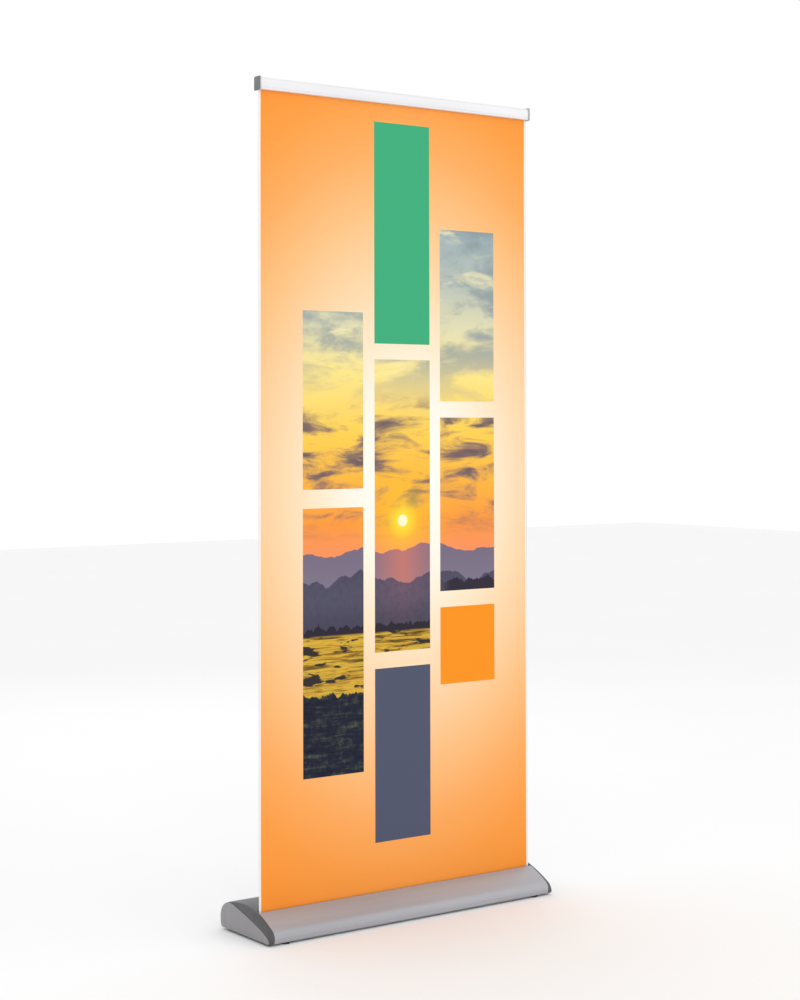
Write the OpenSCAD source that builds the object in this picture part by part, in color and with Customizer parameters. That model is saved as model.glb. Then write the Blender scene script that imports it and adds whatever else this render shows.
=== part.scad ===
// Roll-up banner stand: a spring roller in a low aluminium base, a film that is
// pulled up out of it, a clamping top rail and a telescopic pole behind the film.
//
// Frame: millimetres, +X along the banner, +Z up, the printed side faces -Y.
// The origin is on the floor, under the middle of the base.
// Inside the modules, u is the distance behind the film plane.

/* [Film] */
// Width of the film
film_w = 850; // [600:10:1200]
// Height of film between the base and the top rail
film_h = 2005; // [1500:5:2300]
// Thickness of the film
film_t = 0.4; // [0.3:0.05:0.8]

/* [Base housing] */
// Height of the housing's crest above the floor
base_h = 79; // [66:1:100]
// From the film plane forward to the toe
toe_reach = 79; // [66:1:110]
// From the film plane back to the heel
heel_reach = 151; // [125:1:190]
// Height of the housing's underside above the floor
underside_z = 5; // [4.5:0.1:8]
// Wall of the extruded housing
housing_wall = 2; // [1.5:0.1:3]
// Width of the slot that the film leaves through
slot_w = 7; // [6:0.5:9]
// Depth of the lips at each side of the slot
lip_depth = 9; // [7:1:11]
// From the film's edge to the end of the housing
film_end_gap = 4; // [3:0.5:8]

/* [Base end caps] */
// Thickness of an end cap, outside the housing
cap_t = 16; // [13:0.5:24]
// Thickness of the cap's straight flange
cap_flange = 2.5; // [2:0.5:4]
// Thickness of the plate on a cap's outer face
trim_t = 2; // [1.5:0.5:3]
// Outside radius of the screw channels in the housing
port_r = 4.5; // [4:0.25:5.5]
// Shank radius of the cap screws
cap_screw_r = 2; // [1.5:0.25:2.5]
// Length of the cap screws under the head
cap_screw_len = 25; // [18:1:40]

/* [Roller] */
// Outside radius of the roller tube
tube_r = 16; // [14:0.5:18]
// Wall of the roller tube
tube_wall = 1.5; // [1:0.25:2.5]
// Thickness of the film still wound on the tube when the banner is up
wound_t = 0.5; // [0.4:0.1:1]
// Radius of the roller when all the film is wound on
full_roll_r = 20.8; // [20:0.1:24]
// Radius of the fixed axle and of the spring shaft
axle_r = 4; // [3:0.25:5]
// Length of the plugs in the tube's ends
plug_len = 20; // [14:1:30]
// Length of the closed coils of the torsion spring
spring_len = 150; // [100:10:200]
// Wire diameter of the torsion spring
spring_wire = 2; // [1.6:0.2:2.4]

/* [Feet] */
// From the film's edge in to the middle of a foot
foot_inset = 35; // [25:1:80]
// Radius of a foot's rubber sole
sole_r = 10; // [8:0.5:12]
// Thickness of a foot's rubber sole
sole_t = 2.5; // [2:0.1:3]
// Radius of a foot's knurled disc
foot_disc_r = 11.5; // [9:0.5:13]
// Radius of a foot's stud
stud_r = 3; // [2.5:0.25:4]

/* [Pole] */
// From the film plane back to the pole's axis
pole_u = 28; // [26:1:34]
// Outside radius of the lower tube
pole_r = 12.5; // [11:0.5:14]
// Wall of each pole tube
pole_wall = 1; // [0.8:0.1:1.5]
// Radial gap between one pole tube and the next
pole_gap = 0.5; // [0.4:0.1:1]
// Length of a twist lock
lock_len = 46; // [36:1:60]
// Wall of a twist lock round its tube
lock_wall = 4.5; // [3.5:0.5:7.5]
// Length of tube that stays inside the next one when pulled out
pole_overlap = 50; // [40:5:80]

/* [Top rail] */
// Height of the rail
rail_h = 30; // [26:1:40]
// Depth of the rail in front of the film plane
rail_front = 12; // [11:0.5:15]
// Depth of the rail behind the film plane
rail_back_depth = 11.5; // [10:0.5:14]
// Wall of the rail
rail_wall = 1.8; // [1.4:0.1:2.4]
// Thickness of a rail end cap
rail_cap_t = 4; // [4:0.5:8]
// How far a rail end cap stands out round the rail
rail_cap_lip = 2.5; // [1:0.5:4]

/* [Hidden] */
$fn = 64;

// Fits
run_fit = 0.05;   // radial clearance of a shaft that turns or a tube that slides
loose_fit = 0.3;  // clearance round a piece that is only located
film_clear = 0.3; // from the film to what it passes
eps = 0.01;

// ---- Housing section, worked out in (u, z) ----
function bezier(p, t) =
    p[0] * pow(1 - t, 3) + p[1] * 3 * t * pow(1 - t, 2) + p[2] * 3 * t * t * (1 - t) + p[3] * pow(t, 3);
function curve(p, n) = [for (i = [0 : n - 1]) bezier(p, i / n)];

nose_top = [-toe_reach + 11, 0.456 * base_h];
crest = [0.4 * heel_reach, base_h];
heel = [heel_reach, 0.38 * base_h];
heel_foot = [heel_reach - 13, underside_z];
nose_pts = curve([[-toe_reach + 5, underside_z], [-toe_reach - 1.5, underside_z + 5],
                  [-toe_reach - 2, 0.354 * base_h], nose_top], 10);
slope_pts = curve([nose_top, [-0.506 * toe_reach, 0.665 * base_h],
                   [0.066 * heel_reach, base_h], crest], 22);
back_pts = curve([crest, [0.742 * heel_reach, base_h],
                  [1.013 * heel_reach, 0.835 * base_h], heel], 16);
heel_pts = curve([heel, [heel_reach - 1, 0.152 * base_h],
                  [heel_reach - 2, underside_z], heel_foot], 8);
housing_pts = concat(nose_pts, slope_pts, back_pts, heel_pts, [heel_foot]);

// Points moved inwards along the outline's normal by d
function inset(p, d) = [
    for (i = [0 : len(p) - 1])
        let (a = p[(i + len(p) - 1) % len(p)], b = p[(i + 1) % len(p)],
             t1 = (p[i] - a) / norm(p[i] - a), t2 = (b - p[i]) / norm(b - p[i]),
             m = (t1 + t2) / norm(t1 + t2),
             k = d / max(0.5, m * t1))
            p[i] + k * [m[1], -m[0]]
];
housing_in = inset(housing_pts, housing_wall);

// Height of the housing's top skin at a distance behind the film plane
function skin_z(u) = lookup(u, concat(slope_pts, [crest], [for (i = [1 : 10]) back_pts[i]]));

// Flat outer face of an end cap: lower than the housing along its front slope
face_nose = [-toe_reach + 16, 0.291 * base_h];
face_peak = [0.57 * heel_reach, 0.886 * base_h];
face_heel = [heel_reach - 2, 0.38 * base_h];
face_foot = [heel_reach - 15, underside_z + 1];
face_pts = concat(
    curve([[-toe_reach + 6.5, underside_z + 0.5], [-toe_reach + 1.5, underside_z + 3],
           [-toe_reach + 3, 0.203 * base_h], face_nose], 8),
    curve([face_nose, [-0.38 * toe_reach, 0.513 * base_h],
           [0.232 * heel_reach, 0.728 * base_h], face_peak], 14),
    curve([face_peak, [0.795 * heel_reach, 0.987 * base_h],
           [0.993 * heel_reach, 0.785 * base_h], face_heel], 14),
    curve([face_heel, [heel_reach - 3, 0.152 * base_h],
           [heel_reach - 5, underside_z + 1], face_foot], 8),
    [face_foot]
);

film_y = -(min([for (p = housing_pts) p[0]]) + max([for (p = housing_pts) p[0]])) / 2;

// ---- Places ----
housing_half = film_w / 2 + film_end_gap;
base_half = housing_half + cap_t;
floor_z = underside_z + housing_wall;
slot_z = skin_z(0);
lip_bottom_z = slot_z - lip_depth;
seal_t = slot_w / 2 - film_t / 2 - film_clear - 0.3;

roll_r = tube_r + wound_t;
roller_u = roll_r + film_clear + film_t / 2;
roller_z = floor_z + 4 + full_roll_r;

// Screw channels: [u, z, side of the housing that a rib ties it to]
port_floor = floor_z + port_r - 1;
ports = [
    [-toe_reach + 31, port_floor, "none"],
    [heel_reach - 39, port_floor, "none"],
    [-toe_reach + 45, 0.304 * base_h, "floor"],
    [0.69 * heel_reach, 0.785 * base_h, "roof"]
];
screw_head_r = cap_screw_r * 1.9;
screw_head_t = 2.4;
screw_head_x = housing_half + cap_t - trim_t - 5;

peg_r = 2.5;
peg_len = 6;
pegs = [[-0.1 * toe_reach, 0.34 * base_h], [0.83 * heel_reach, 0.44 * base_h]];

tube_half = film_w / 2;
plug_bore_r = axle_r + run_fit + 2;
boss_r = 11;
axle_sink = 8;
spring_r = tube_r - tube_wall - 3;
clip_t = 1;

foot_x = film_w / 2 - foot_inset;
foot_front_u = -toe_reach + 15.5;
foot_rear_u = heel_reach - 20;
feet = [[-foot_x, foot_front_u], [foot_x, foot_front_u], [-foot_x, foot_rear_u], [foot_x, foot_rear_u]];
foot_disc_z = sole_t;
foot_disc_t = underside_z - foot_disc_z - 0.3;
foot_travel = 6;
insert_r = stud_r + 3;
insert_h = 10;
stud_top_z = floor_z + insert_h + foot_travel - 1;

socket_bottom_z = roller_z + full_roll_r + 2.5;
socket_floor = 3;
socket_top_z = skin_z(pole_u) + 20;
socket_pad_z = skin_z(pole_u) + 8;
spigot_r = pole_r + 2.5;
socket_screw_x = 28;
socket_screw_r = 1.9;

// Pole stages, from the floor up
pole_plug_h = 8;
pole_base_z = socket_bottom_z + socket_floor;
rail_z = slot_z + film_h;
head_z = rail_z - 24;
lock_rise = 5;
stage_clear = 6;
stage_travel = (head_z - pole_base_z - pole_plug_h - pole_overlap - lock_len - 3 * stage_clear
                - 2 * lock_rise - 20) / 3;
pole_top_1 = pole_base_z + pole_plug_h + stage_travel + pole_overlap + 20 + stage_clear;
pole_foot_2 = pole_top_1 - pole_overlap;
pole_top_2 = pole_top_1 + stage_travel + lock_len + stage_clear;
pole_foot_3 = pole_top_2 - pole_overlap;
lock_r = pole_r + lock_wall;
pole_r2 = pole_r - pole_wall - pole_gap;
pole_r3 = pole_r2 - pole_wall - pole_gap;
collet_t = 3;
guide_h = 16;

rail_half = film_w / 2 + film_clear;
hinge_u = -rail_front + 3.6;
hinge_z = rail_z + rail_h - 4.8;
bead_r = 2;
knuckle_r = 3.6;
film_top_z = rail_z + 17;
strip_t = 0.5;
rail_screw_r = 1.5;
rail_port = [rail_back_depth - rail_wall - 2.6, rail_z + rail_h / 2 - 2];
channel_gap = 4;
tongue_half = 12;

echo(base_length = 2 * base_half, film_y = film_y, slot_z = slot_z, rail_z = rail_z,
     stage_travel = stage_travel, roller = [film_y + roller_u, roller_z],
     hinge = [film_y + hinge_u, hinge_z], pole_y = film_y + pole_u);

// ---- Helpers ----
// Turns a (u, z) outline into a bar along X, centred at x
module bar(len, x = 0) {
    translate([x, film_y, 0])
        rotate([90, 0, 90])
            linear_extrude(len, center = true)
                children();
}

// A bar along X between two places
module bar_between(x1, x2) {
    bar(abs(x2 - x1), (x1 + x2) / 2) children();
}

// Round rod along X between two places, at u and z
module rod_x(r, x1, x2, u, z) {
    translate([min(x1, x2), film_y + u, z])
        rotate([0, 90, 0])
            cylinder(r = r, h = abs(x2 - x1));
}

// Round tube along X
module tube_x(r, r_in, x1, x2, u, z) {
    difference() {
        rod_x(r, x1, x2, u, z);
        rod_x(r_in, min(x1, x2) - 1, max(x1, x2) + 1, u, z);
    }
}

// Upright cylinder on the pole's axis
module pole_rod(r, z1, z2) {
    translate([0, film_y + pole_u, z1])
        cylinder(r = r, h = z2 - z1);
}

// Upright tube on the pole's axis
module pole_tube(r, r_in, z1, z2) {
    difference() {
        pole_rod(r, z1, z2);
        pole_rod(r_in, z1 - 1, z2 + 1);
    }
}

// Rectangle in (u, z) from corner to corner
module box2(u1, z1, u2, z2) {
    translate([min(u1, u2), min(z1, z2)])
        square([abs(u2 - u1), abs(z2 - z1)]);
}

// ---- Base housing ----
module housing_section() {
    difference() {
        union() {
            difference() {
                polygon(housing_pts);
                polygon(housing_in);
            }
            for (side = [-1, 1])
                box2(side * slot_w / 2, lip_bottom_z,
                     side * (slot_w / 2 + housing_wall), skin_z(side * slot_w / 2) - 1);
            for (p = ports) {
                translate([p[0], p[1]])
                    circle(r = port_r);
                if (p[2] == "floor")
                    box2(p[0] - 1, floor_z - 1, p[0] + 1, p[1] - port_r / 2);
                if (p[2] == "roof")
                    box2(p[0] - 1, p[1] + port_r / 2, p[0] + 1, skin_z(p[0]) - 1);
            }
        }
        box2(-slot_w / 2, lip_bottom_z - 1, slot_w / 2, base_h);
        for (p = ports)
            translate([p[0], p[1]])
                circle(r = cap_screw_r);
    }
}

module housing_shell() {
    color("silver")
        difference() {
            bar(2 * housing_half) housing_section();
            pole_rod(spigot_r + loose_fit, pole_base_z, socket_top_z);
            for (side = [-1, 1])
                translate([side * socket_screw_x, film_y + pole_u, floor_z + 1])
                    cylinder(r = socket_screw_r, h = base_h);
            for (f = feet)
                translate([f[0], film_y + f[1], 0])
                    cylinder(r = stud_r + loose_fit, h = floor_z + 1);
        }
}

// ---- Base end caps ----
// One cap on the +X side
module end_cap() {
    face_x = base_half - trim_t;
    difference() {
        union() {
            bar_between(housing_half, housing_half + cap_flange) polygon(housing_pts);
            hull() {
                bar_between(housing_half + cap_flange - 0.5, housing_half + cap_flange) polygon(housing_pts);
                bar_between(face_x - 0.5, face_x) polygon(face_pts);
            }
            rod_x(boss_r, housing_half - 3, housing_half + 1, roller_u, roller_z);
            bar_between(housing_half - 12, housing_half + 1) locating_tabs();
        }
        rod_x(axle_r, housing_half - 4, housing_half + axle_sink, roller_u, roller_z);
        for (p = ports) {
            rod_x(cap_screw_r + 0.2, housing_half - 1, base_half, p[0], p[1]);
            rod_x(screw_head_r + 0.3, screw_head_x, base_half, p[0], p[1]);
        }
        for (p = pegs)
            rod_x(peg_r, face_x - peg_len - 0.5, base_half, p[0], p[1]);
    }
}

// Two tabs that fit inside the housing's crest and on its floor
module locating_tabs() {
    intersection() {
        difference() {
            polygon(inset(housing_pts, housing_wall + loose_fit));
            polygon(inset(housing_pts, housing_wall + loose_fit + 2.5));
        }
        union() {
            box2(0.36 * heel_reach, base_h / 2, 0.6 * heel_reach, base_h);
            box2(0.33 * heel_reach, 0, 0.63 * heel_reach, base_h / 3);
        }
    }
}

module end_cap_right() {
    color([0.30, 0.30, 0.31]) end_cap();
}

module end_cap_left() {
    color([0.30, 0.30, 0.31]) mirror([1, 0, 0]) end_cap();
}

// Plate on the cap's outer face, held by two pegs
module trim() {
    bar_between(base_half - trim_t, base_half) polygon(face_pts);
    for (p = pegs)
        rod_x(peg_r - run_fit, base_half - trim_t - peg_len, base_half - trim_t + 0.5, p[0], p[1]);
}

module trim_right() {
    color([0.62, 0.61, 0.62]) trim();
}

module trim_left() {
    color([0.62, 0.61, 0.62]) mirror([1, 0, 0]) trim();
}

module cap_screws() {
    color("dimgray")
        for (side = [0, 1], p = ports)
            mirror([side, 0, 0])
                difference() {
                    union() {
                        rod_x(cap_screw_r - 0.05, screw_head_x - cap_screw_len, screw_head_x + 0.5, p[0], p[1]);
                        rod_x(screw_head_r, screw_head_x, screw_head_x + screw_head_t, p[0], p[1]);
                    }
                    translate([screw_head_x + 1, film_y + p[0], p[1]])
                        for (turn = [0, 90])
                            rotate([turn, 0, 0])
                                translate([0, -0.5, -2])
                                    cube([screw_head_t, 1, 4]);
                }
}

// ---- Slot seals: a carrier and its pile, one each side of the film ----
module seal(side) {
    bar(film_w) {
        box2(side * slot_w / 2, lip_bottom_z, side * (slot_w / 2 - 1), lip_bottom_z + lip_depth - 2.5);
        box2(side * (slot_w / 2 - 1 + eps), lip_bottom_z + 1,
             side * (slot_w / 2 - seal_t), lip_bottom_z + lip_depth - 4);
    }
}

module front_seal() {
    color([0.12, 0.12, 0.12]) seal(-1);
}

module rear_seal() {
    color([0.12, 0.12, 0.12]) seal(1);
}

// ---- Film ----
module banner_film() {
    color([0.97, 0.60, 0.24])
        bar(film_w) box2(-film_t / 2, roller_z, film_t / 2, film_top_z);
}

module film_wound() {
    color("whitesmoke")
        tube_x(roll_r, tube_r, -film_w / 2, film_w / 2, roller_u, roller_z);
}

// ---- Roller ----
module roller_tube() {
    color("lightgray")
        tube_x(tube_r, tube_r - tube_wall, -tube_half, tube_half, roller_u, roller_z);
}

module tube_plug(side) {
    tube_x(tube_r - tube_wall, plug_bore_r, side * tube_half, side * (tube_half - plug_len), roller_u, roller_z);
}

module tube_plug_left() {
    color("white") tube_plug(-1);
}

module tube_plug_right() {
    color("white") tube_plug(1);
}

module bush(side) {
    tube_x(plug_bore_r, axle_r + run_fit, side * (tube_half + 0.5), side * (tube_half - plug_len), roller_u, roller_z);
}

module bush_left() {
    color("tan") bush(-1);
}

module bush_right() {
    color("tan") bush(1);
}

plug_in_x = tube_half - plug_len;
clip_x = plug_in_x - 0.3;
spring_pitch = spring_wire * 0.94;
spring_turns = floor((spring_len - spring_wire) / spring_pitch);
spring_end_x = plug_in_x - spring_wire - (spring_turns - 1) * spring_pitch;
shaft_end_x = spring_end_x - 0.4;

module idler_axle() {
    color("gray")
        difference() {
            rod_x(axle_r, clip_x - clip_t - 3, housing_half + axle_sink, roller_u, roller_z);
            tube_x(axle_r + 1, axle_r - 0.6, clip_x - clip_t, clip_x, roller_u, roller_z);
        }
}

module spring_shaft() {
    color("gray")
        difference() {
            rod_x(axle_r, -housing_half - axle_sink, -shaft_end_x + 14, roller_u, roller_z);
            tube_x(axle_r + 1, axle_r - 0.6, -clip_x, -clip_x + clip_t, roller_u, roller_z);
        }
}

module axle_clips() {
    color("dimgray") {
        tube_x(axle_r + 2.2, axle_r - 0.6, clip_x - clip_t, clip_x, roller_u, roller_z);
        tube_x(axle_r + 2.2, axle_r - 0.6, -clip_x, -clip_x + clip_t, roller_u, roller_z);
    }
}

module spring_anchor() {
    color("white")
        tube_x(spring_r + 0.5, axle_r, -shaft_end_x, -shaft_end_x + 12, roller_u, roller_z);
}

// Closed coils: a row of overlapping rounds turned about the shaft
module torsion_spring() {
    color("slategray")
        translate([-spring_end_x - spring_wire / 2, film_y + roller_u, roller_z])
            rotate([0, -90, 0])
                rotate_extrude()
                    for (i = [0 : spring_turns - 1])
                        translate([spring_r - spring_wire / 2, i * spring_pitch])
                            circle(r = spring_wire / 2, $fn = 16);
}

// ---- Feet ----
module sole(i) {
    color([0.1, 0.1, 0.1])
        translate([feet[i][0], film_y + feet[i][1], 0])
            difference() {
                cylinder(r = sole_r, h = sole_t - 0.2);
                translate([0, 0, sole_t - 1.2])
                    cylinder(r = 5 + run_fit, h = 2);
            }
}

// Threaded stud with its knurled disc and the button that the sole snaps on
module stud(i) {
    color([0.2, 0.2, 0.2])
        translate([feet[i][0], film_y + feet[i][1], 0])
            difference() {
                union() {
                    translate([0, 0, foot_disc_z])
                        cylinder(r = foot_disc_r, h = foot_disc_t);
                    translate([0, 0, sole_t - 1])
                        cylinder(r = 5, h = 1.5);
                    translate([0, 0, foot_disc_z + 0.5])
                        cylinder(r = stud_r - run_fit, h = stud_top_z - foot_disc_z - 0.5);
                }
                for (k = [0 : 11])
                    rotate(30 * k)
                        translate([foot_disc_r + 0.6, 0, foot_disc_z - 1])
                            cylinder(r = 1.5, h = foot_disc_t + 2);
            }
}

module foot_inserts() {
    color("darkgoldenrod")
        for (f = feet)
            translate([f[0], film_y + f[1], floor_z])
                difference() {
                    cylinder(r = insert_r, h = insert_h);
                    translate([0, 0, -1])
                        cylinder(r = stud_r, h = insert_h + 2);
                }
}

// ---- Pole socket ----
module pole_socket() {
    pad_r = spigot_r + 5;
    color([0.15, 0.15, 0.16])
        difference() {
            union() {
                difference() {
                    union() {
                        translate([-socket_screw_x, film_y + pole_u - 8, skin_z(pole_u) - 8])
                            cube([2 * socket_screw_x, 16, socket_pad_z - skin_z(pole_u) + 8]);
                        for (side = [-1, 1])
                            translate([side * socket_screw_x, film_y + pole_u, skin_z(pole_u) - 8])
                                cylinder(r = 8, h = socket_pad_z - skin_z(pole_u) + 8);
                        pole_rod(pad_r, skin_z(pole_u) - 8, socket_pad_z);
                        pole_rod(spigot_r + 1.5, skin_z(pole_u) - 8, socket_top_z);
                    }
                    bar(200) polygon(housing_pts);
                }
                pole_rod(spigot_r, socket_bottom_z, socket_pad_z);
            }
            pole_rod(pole_r + run_fit, pole_base_z, socket_top_z + 1);
            for (side = [-1, 1])
                translate([side * socket_screw_x, film_y + pole_u, 0])
                    cylinder(r = socket_screw_r + 0.2, h = socket_top_z);
        }
}

module socket_screws() {
    color("dimgray")
        for (side = [-1, 1])
            translate([side * socket_screw_x, film_y + pole_u, 0])
                difference() {
                    union() {
                        translate([0, 0, skin_z(pole_u) - 12])
                            cylinder(r = socket_screw_r - 0.05, h = socket_pad_z - skin_z(pole_u) + 12.5);
                        translate([0, 0, socket_pad_z])
                            cylinder(r = 3.6, h = 2.2);
                    }
                    translate([0, 0, socket_pad_z + 1])
                        for (turn = [0, 90])
                            rotate(turn)
                                translate([-2, -0.5, 0])
                                    cube([4, 1, 3]);
                }
}

// ---- Pole ----
module pole_lower_tube() {
    color("silver") pole_tube(pole_r, pole_r - pole_wall, pole_base_z, pole_top_1);
}

module pole_bottom_plug() {
    color([0.15, 0.15, 0.16])
        pole_rod(pole_r - pole_wall, pole_base_z, pole_base_z + pole_plug_h);
}

module pole_middle_tube() {
    color("silver") pole_tube(pole_r2, pole_r2 - pole_wall, pole_foot_2, pole_top_2);
}

module pole_upper_tube() {
    color("silver") pole_tube(pole_r3, pole_r3 - pole_wall, pole_foot_3, head_z + 20);
}

// Plug in a sliding tube's foot, with a skirt that runs in the tube outside it
module guide(r, foot_z) {
    color([0.15, 0.15, 0.16]) {
        pole_rod(r + pole_gap - run_fit, foot_z - 6, foot_z);
        pole_rod(r - pole_wall, foot_z - 1, foot_z + guide_h);
    }
}

module middle_guide() {
    guide(pole_r2, pole_foot_2);
}

module upper_guide() {
    guide(pole_r3, pole_foot_3);
}

// Ring on a tube's top that grips the tube that slides in it
module collet(r, r_in, top_z) {
    color([0.85, 0.85, 0.83])
        pole_tube(r + 2, r_in + run_fit, top_z, top_z + collet_t);
}

module lower_collet() {
    collet(pole_r, pole_r2, pole_top_1);
}

module upper_collet() {
    collet(pole_r2, pole_r3, pole_top_2);
}

// Fluted sleeve that turns about the top of a tube
module twist_lock(r, r_tube, r_in, top_z) {
    color([0.13, 0.13, 0.14])
        difference() {
            union() {
                pole_rod(r, top_z + lock_rise - lock_len, top_z + lock_rise - 2);
                pole_rod(r - 1, top_z + lock_rise - lock_len, top_z + lock_rise);
            }
            pole_rod(r_tube + 0.1, top_z - lock_len, top_z + 0.2);
            pole_rod(r_tube + 2.1, top_z - 0.2, top_z + collet_t + 0.2);
            pole_rod(r_in + 0.3, top_z, top_z + lock_rise + 1);
            for (k = [0 : 11])
                translate([0, film_y + pole_u, top_z + lock_rise - lock_len + 6])
                    rotate(30 * k)
                        translate([r + 1.6, 0, 0])
                            cylinder(r = 2.5, h = lock_len - 12, $fn = 24);
        }
}

module lower_lock() {
    twist_lock(lock_r, pole_r, pole_r2, pole_top_1);
}

module upper_lock() {
    twist_lock(lock_r - pole_wall - pole_gap, pole_r2, pole_r3, pole_top_2);
}

// Cap on the upper tube with an arm and a tongue that goes up into the rail's channel
module pole_head() {
    tongue_u = rail_back_depth + film_clear;
    color([0.15, 0.15, 0.16]) {
        difference() {
            union() {
                pole_rod(pole_r3 + 2.5, head_z, rail_z + 4);
                translate([-tongue_half, film_y + tongue_u, rail_z - 6])
                    cube([2 * tongue_half, pole_u - tongue_u, 10]);
                translate([-tongue_half, film_y + tongue_u, rail_z])
                    cube([2 * tongue_half, channel_gap - 2 * film_clear, rail_h - rail_wall - film_clear]);
            }
            pole_rod(pole_r3 + run_fit, head_z - 1, head_z + 20);
        }
    }
}

// ---- Top rail ----
module rail_back_section() {
    top_z = rail_z + rail_h;
    inner_u = film_t / 2 + strip_t;
    difference() {
        union() {
            box2(rail_back_depth - rail_wall, rail_z, rail_back_depth, top_z);
            box2(hinge_u - 1.1, top_z - rail_wall, rail_back_depth + channel_gap + rail_wall, top_z);
            box2(rail_back_depth + channel_gap, top_z - 11, rail_back_depth + channel_gap + rail_wall, top_z);
            box2(inner_u, rail_z, inner_u + rail_wall, top_z - 1);
            box2(inner_u, rail_z + rail_h / 2 - 3, rail_back_depth - 1, rail_z + rail_h / 2 - 1);
            translate(rail_port)
                circle(r = 3.2);
            translate([hinge_u, hinge_z])
                circle(r = bead_r);
            box2(hinge_u - 0.8, hinge_z, hinge_u + 0.8, top_z - 1);
        }
        translate(rail_port)
            circle(r = rail_screw_r);
    }
}

module rail_back() {
    color([0.90, 0.90, 0.91]) bar(2 * rail_half) rail_back_section();
}

// Front half of the clamp: hooks over the bead and closes on the film at its foot
module rail_jaw_section() {
    nose_u = -film_t / 2 - strip_t;
    difference() {
        translate([hinge_u, hinge_z])
            circle(r = knuckle_r);
        translate([hinge_u, hinge_z])
            circle(r = bead_r + 0.15);
        translate([hinge_u, hinge_z])
            polygon([[0, 0], for (a = [55 : 25 : 180]) 6 * [cos(a), sin(a)]]);
    }
    box2(-rail_front, rail_z, -rail_front + rail_wall, hinge_z - 1.6);
    box2(-rail_front, rail_z, nose_u, rail_z + rail_wall);
    box2(nose_u - rail_wall, rail_z, nose_u, rail_z + 12);
}

module rail_jaw() {
    color([0.93, 0.93, 0.94]) bar(2 * rail_half - 1) rail_jaw_section();
}

module rail_strip_back() {
    color([0.8, 0.8, 0.8])
        bar(2 * rail_half - 6) box2(film_t / 2 + 0.05, rail_z + 1, film_t / 2 + strip_t, rail_z + 11);
}

module rail_strip_front() {
    color([0.8, 0.8, 0.8])
        bar(2 * rail_half - 6) box2(-film_t / 2 - 0.05, rail_z + 1, -film_t / 2 - strip_t, rail_z + 11);
}

// Rounded end plate on the +X side with a spigot in the rail
module rail_cap() {
    low = rail_cap_lip;
    corner = 4;
    span_u = [-rail_front - low + corner, rail_back_depth + low - corner];
    span_z = [rail_z - low + corner, rail_z + rail_h + low - corner];
    difference() {
        union() {
            bar_between(rail_half, rail_half + rail_cap_t) {
                box2(span_u[0] - corner, span_z[0], span_u[1] + corner, span_z[1]);
                box2(span_u[0], span_z[0] - corner, span_u[1], span_z[1] + corner);
                for (u = span_u, z = span_z)
                    translate([u, z])
                        circle(r = corner);
            }
            bar_between(rail_half - 8, rail_half + 1)
                box2(film_t / 2 + strip_t + rail_wall + 0.2, rail_z + rail_h / 2 + 2.6,
                     rail_back_depth - rail_wall - 0.2, rail_z + rail_h - rail_wall - 0.3);
        }
        rod_x(rail_screw_r + 0.2, rail_half - 9, rail_half + rail_cap_t + 1, rail_port[0], rail_port[1]);
        rod_x(3, rail_half + rail_cap_t - 1.6, rail_half + rail_cap_t + 1, rail_port[0], rail_port[1]);
    }
}

module rail_cap_right() {
    color([0.78, 0.78, 0.80]) rail_cap();
}

module rail_cap_left() {
    color([0.78, 0.78, 0.80]) mirror([1, 0, 0]) rail_cap();
}

module rail_cap_screws() {
    head_x = rail_half + rail_cap_t - 1.6;
    color("dimgray")
        for (side = [0, 1])
            mirror([side, 0, 0])
                difference() {
                    union() {
                        rod_x(rail_screw_r - 0.05, head_x - 16, head_x + 0.5, rail_port[0], rail_port[1]);
                        rod_x(2.8, head_x, head_x + 1.5, rail_port[0], rail_port[1]);
                    }
                    translate([head_x + 0.8, film_y + rail_port[0], rail_port[1]])
                        for (turn = [0, 90])
                            rotate([turn, 0, 0])
                                translate([0, -0.4, -1.6])
                                    cube([2, 0.8, 3.2]);
                }
}

housing_shell();
end_cap_left();
end_cap_right();
trim_left();
trim_right();
cap_screws();
front_seal();
rear_seal();
idler_axle();
spring_shaft();
spring_anchor();
axle_clips();
pole_socket();
socket_screws();
foot_inserts();
banner_film();
roller_tube();
tube_plug_left();
tube_plug_right();
bush_left();
bush_right();
torsion_spring();
film_wound();
pole_lower_tube();
pole_bottom_plug();
lower_collet();
lower_lock();
pole_middle_tube();
middle_guide();
upper_collet();
upper_lock();
pole_upper_tube();
upper_guide();
pole_head();
rail_back();
rail_strip_back();
rail_cap_left();
rail_cap_right();
rail_cap_screws();
rail_jaw();
rail_strip_front();
sole(0);  // sole_front_left
sole(1);  // sole_front_right
sole(2);  // sole_rear_left
sole(3);  // sole_rear_right
stud(0);  // stud_front_left
stud(1);  // stud_front_right
stud(2);  // stud_rear_left
stud(3);  // stud_rear_right
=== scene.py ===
"""Roll-up banner stand: a printed film pulled up out of a low silver base.

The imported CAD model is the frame. Each visible piece is worked out here as a
surface in the same frame, in metres: +X along the banner, +Z up, and the
printed side faces -Y.
"""
import math

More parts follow.
